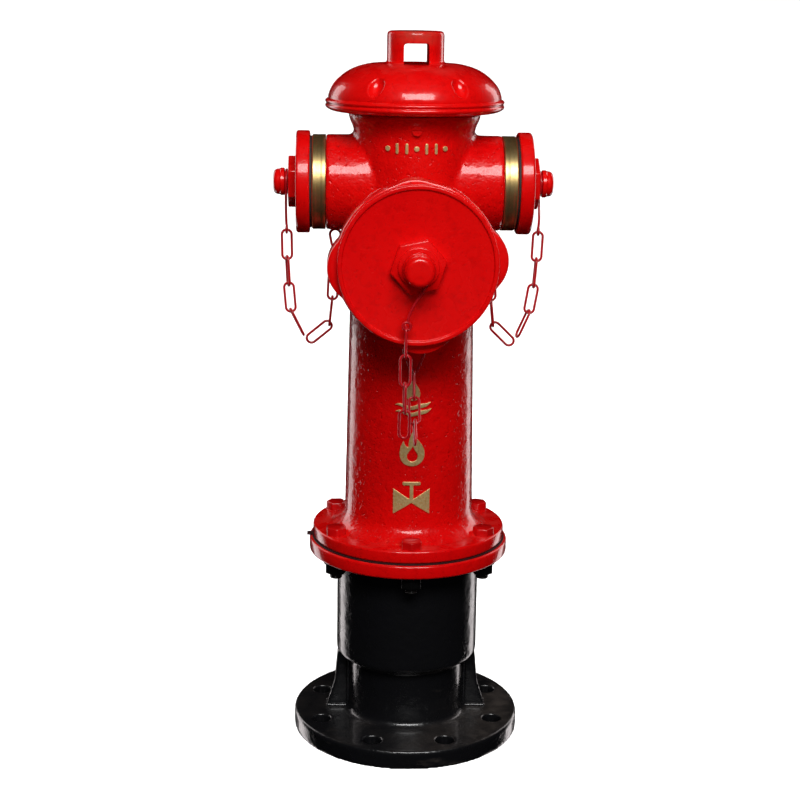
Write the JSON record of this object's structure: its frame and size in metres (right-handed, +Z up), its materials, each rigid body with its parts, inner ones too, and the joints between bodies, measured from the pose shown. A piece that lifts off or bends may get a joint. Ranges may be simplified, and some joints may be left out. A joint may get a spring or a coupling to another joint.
{
  "type": "pillar fire hydrant",
  "caption": "Above-ground pillar fire hydrant with a flanged base, a screw-down valve under a mushroom hat, a large front outlet and two small side outlets with chained blind caps.",
  "frame": {"origin": "centre of the base flange's underside", "axes": "+Z up along the barrel, -Y out of the large outlet, +X and -X out of the small outlets"},
  "size_m": [0.2582, 0.2663, 0.674],
  "materials": {
    "black_paint": "glossy black paint",
    "red_paint": "glossy red paint on cast iron",
    "gasket_rubber": "matt black rubber",
    "bolt_steel": "painted steel",
    "nut_steel": "blackened steel",
    "brass": "turned brass",
    "gold_paint": "gold paint",
    "raw_iron": "as cast, oiled",
    "stem_steel": "machined",
    "chain_paint": "thin red paint on wire"
  },
  "bodies": {
    "hydrant": {"base_casting": "black_paint", "lower_flange": "red_paint", "flange_gasket": "gasket_rubber", "barrel": "red_paint", "flange_bolts": "bolt_steel", "flange_nuts": "nut_steel", "flange_washers": "nut_steel", "neck_plug": "red_paint", "relief_marks": "gold_paint", "seat_ring": "brass", "seat_o_ring": "gasket_rubber", "drain_bush": "brass", "stem_guide": "raw_iron", "bonnet_gasket": "gasket_rubber", "bonnet": "raw_iron", "bonnet_screws": "stem_steel", "stem_packing": "gasket_rubber", "nut_retainer": "raw_iron", "retainer_screws": "stem_steel", "outlet_ring_left": "brass", "outlet_ring_right": "brass", "outlet_ring_front": "brass", "chain_anchors": "chain_paint"},
    "operating_hat": {"hat": "red_paint", "stem_nut": "brass", "hat_set_screws": "stem_steel"},
    "valve_stem": {"stem": "stem_steel", "valve_plate": "raw_iron", "valve_rubber": "gasket_rubber", "valve_lower_plate": "raw_iron", "lock_washer": "stem_steel", "valve_nut": "stem_steel", "drain_shoe": "brass"},
    "left_eye": {"eye_left": "chain_paint"},
    "left_cap": {"cap_left": "red_paint", "cap_left_seal": "gasket_rubber"},
    "left_fall": {"chain_left_fall": "chain_paint"},
    "left_return": {"chain_left_return": "chain_paint"},
    "right_eye": {"eye_right": "chain_paint"},
    "right_cap": {"cap_right": "red_paint", "cap_right_seal": "gasket_rubber"},
    "right_fall": {"chain_right_fall": "chain_paint"},
    "right_return": {"chain_right_return": "chain_paint"},
    "front_eye": {"eye_front": "chain_paint"},
    "front_cap": {"cap_front": "red_paint", "cap_front_seal": "gasket_rubber"},
    "front_fall": {"chain_front_fall": "chain_paint"},
    "front_return": {"chain_front_return": "chain_paint"}
  },
  "joints": [
    {"name": "hat_turn", "type": "hinge", "parent": "hydrant", "child": "operating_hat", "pos_m": [0, 0, 0.63], "axis": [0, 0, 1], "range_deg": [0, 2160]},
    {"name": "valve_lift", "type": "slide", "parent": "hydrant", "child": "valve_stem", "axis": [0, 0, 1], "range_m": [0, 0.03601]},
    {"name": "left_cap_advance", "type": "slide", "parent": "hydrant", "child": "left_eye", "axis": [-1, 0, 0], "range_m": [0, 0.01201]},
    {"name": "left_cap_turn", "type": "hinge", "parent": "left_eye", "child": "left_cap", "pos_m": [-0.1, 0, 0.537], "axis": [-1, 0, 0], "range_deg": [0, 1080]},
    {"name": "left_chain_fall_swing", "type": "hinge", "parent": "left_eye", "child": "left_fall", "pos_m": [-0.11705, 0, 0.4896], "axis": [0, 1, 0], "range_deg": [0, 60]},
    {"name": "left_chain_return_swing", "type": "hinge", "parent": "hydrant", "child": "left_return", "pos_m": [-0.072, 0, 0.4768], "axis": [-1, 0, 0], "range_deg": [0, 30]},
    {"name": "right_cap_advance", "type": "slide", "parent": "hydrant", "child": "right_eye", "axis": [1, 0, 0], "range_m": [0, 0.01201]},
    {"name": "right_cap_turn", "type": "hinge", "parent": "right_eye", "child": "right_cap", "pos_m": [0.1, 0, 0.537], "axis": [1, 0, 0], "range_deg": [0, 1080]},
    {"name": "right_chain_fall_swing", "type": "hinge", "parent": "right_eye", "child": "right_fall", "pos_m": [0.11705, 0, 0.4896], "axis": [0, -1, 0], "range_deg": [0, 60]},
    {"name": "right_chain_return_swing", "type": "hinge", "parent": "hydrant", "child": "right_return", "pos_m": [0.072, 0, 0.4768], "axis": [-1, 0, 0], "range_deg": [0, 30]},
    {"name": "front_cap_advance", "type": "slide", "parent": "hydrant", "child": "front_eye", "axis": [0, -1, 0], "range_m": [0, 0.02101]},
    {"name": "front_cap_turn", "type": "hinge", "parent": "front_eye", "child": "front_cap", "pos_m": [0, -0.12, 0.479], "axis": [0, -1, 0], "range_deg": [0, 1260]},
    {"name": "front_chain_fall_swing", "type": "hinge", "parent": "front_eye", "child": "front_fall", "pos_m": [-0.01038, -0.13465, 0.4256], "axis": [-0.9816, 0, 0.1908], "range_deg": [0, 60]},
    {"name": "front_chain_return_swing", "type": "hinge", "parent": "hydrant", "child": "front_return", "pos_m": [0, -0.074, 0.3741], "axis": [-1, 0, 0], "range_deg": [-26, 0]}
  ],
  "couplings": [
    {"joint": "valve_lift", "follows": "hat_turn", "m_per_rad": 0.00095493},
    {"joint": "left_cap_advance", "follows": "left_cap_turn", "m_per_rad": 0.00063662},
    {"joint": "right_cap_advance", "follows": "right_cap_turn", "m_per_rad": 0.00063662},
    {"joint": "front_cap_advance", "follows": "front_cap_turn", "m_per_rad": 0.00095493}
  ]
}
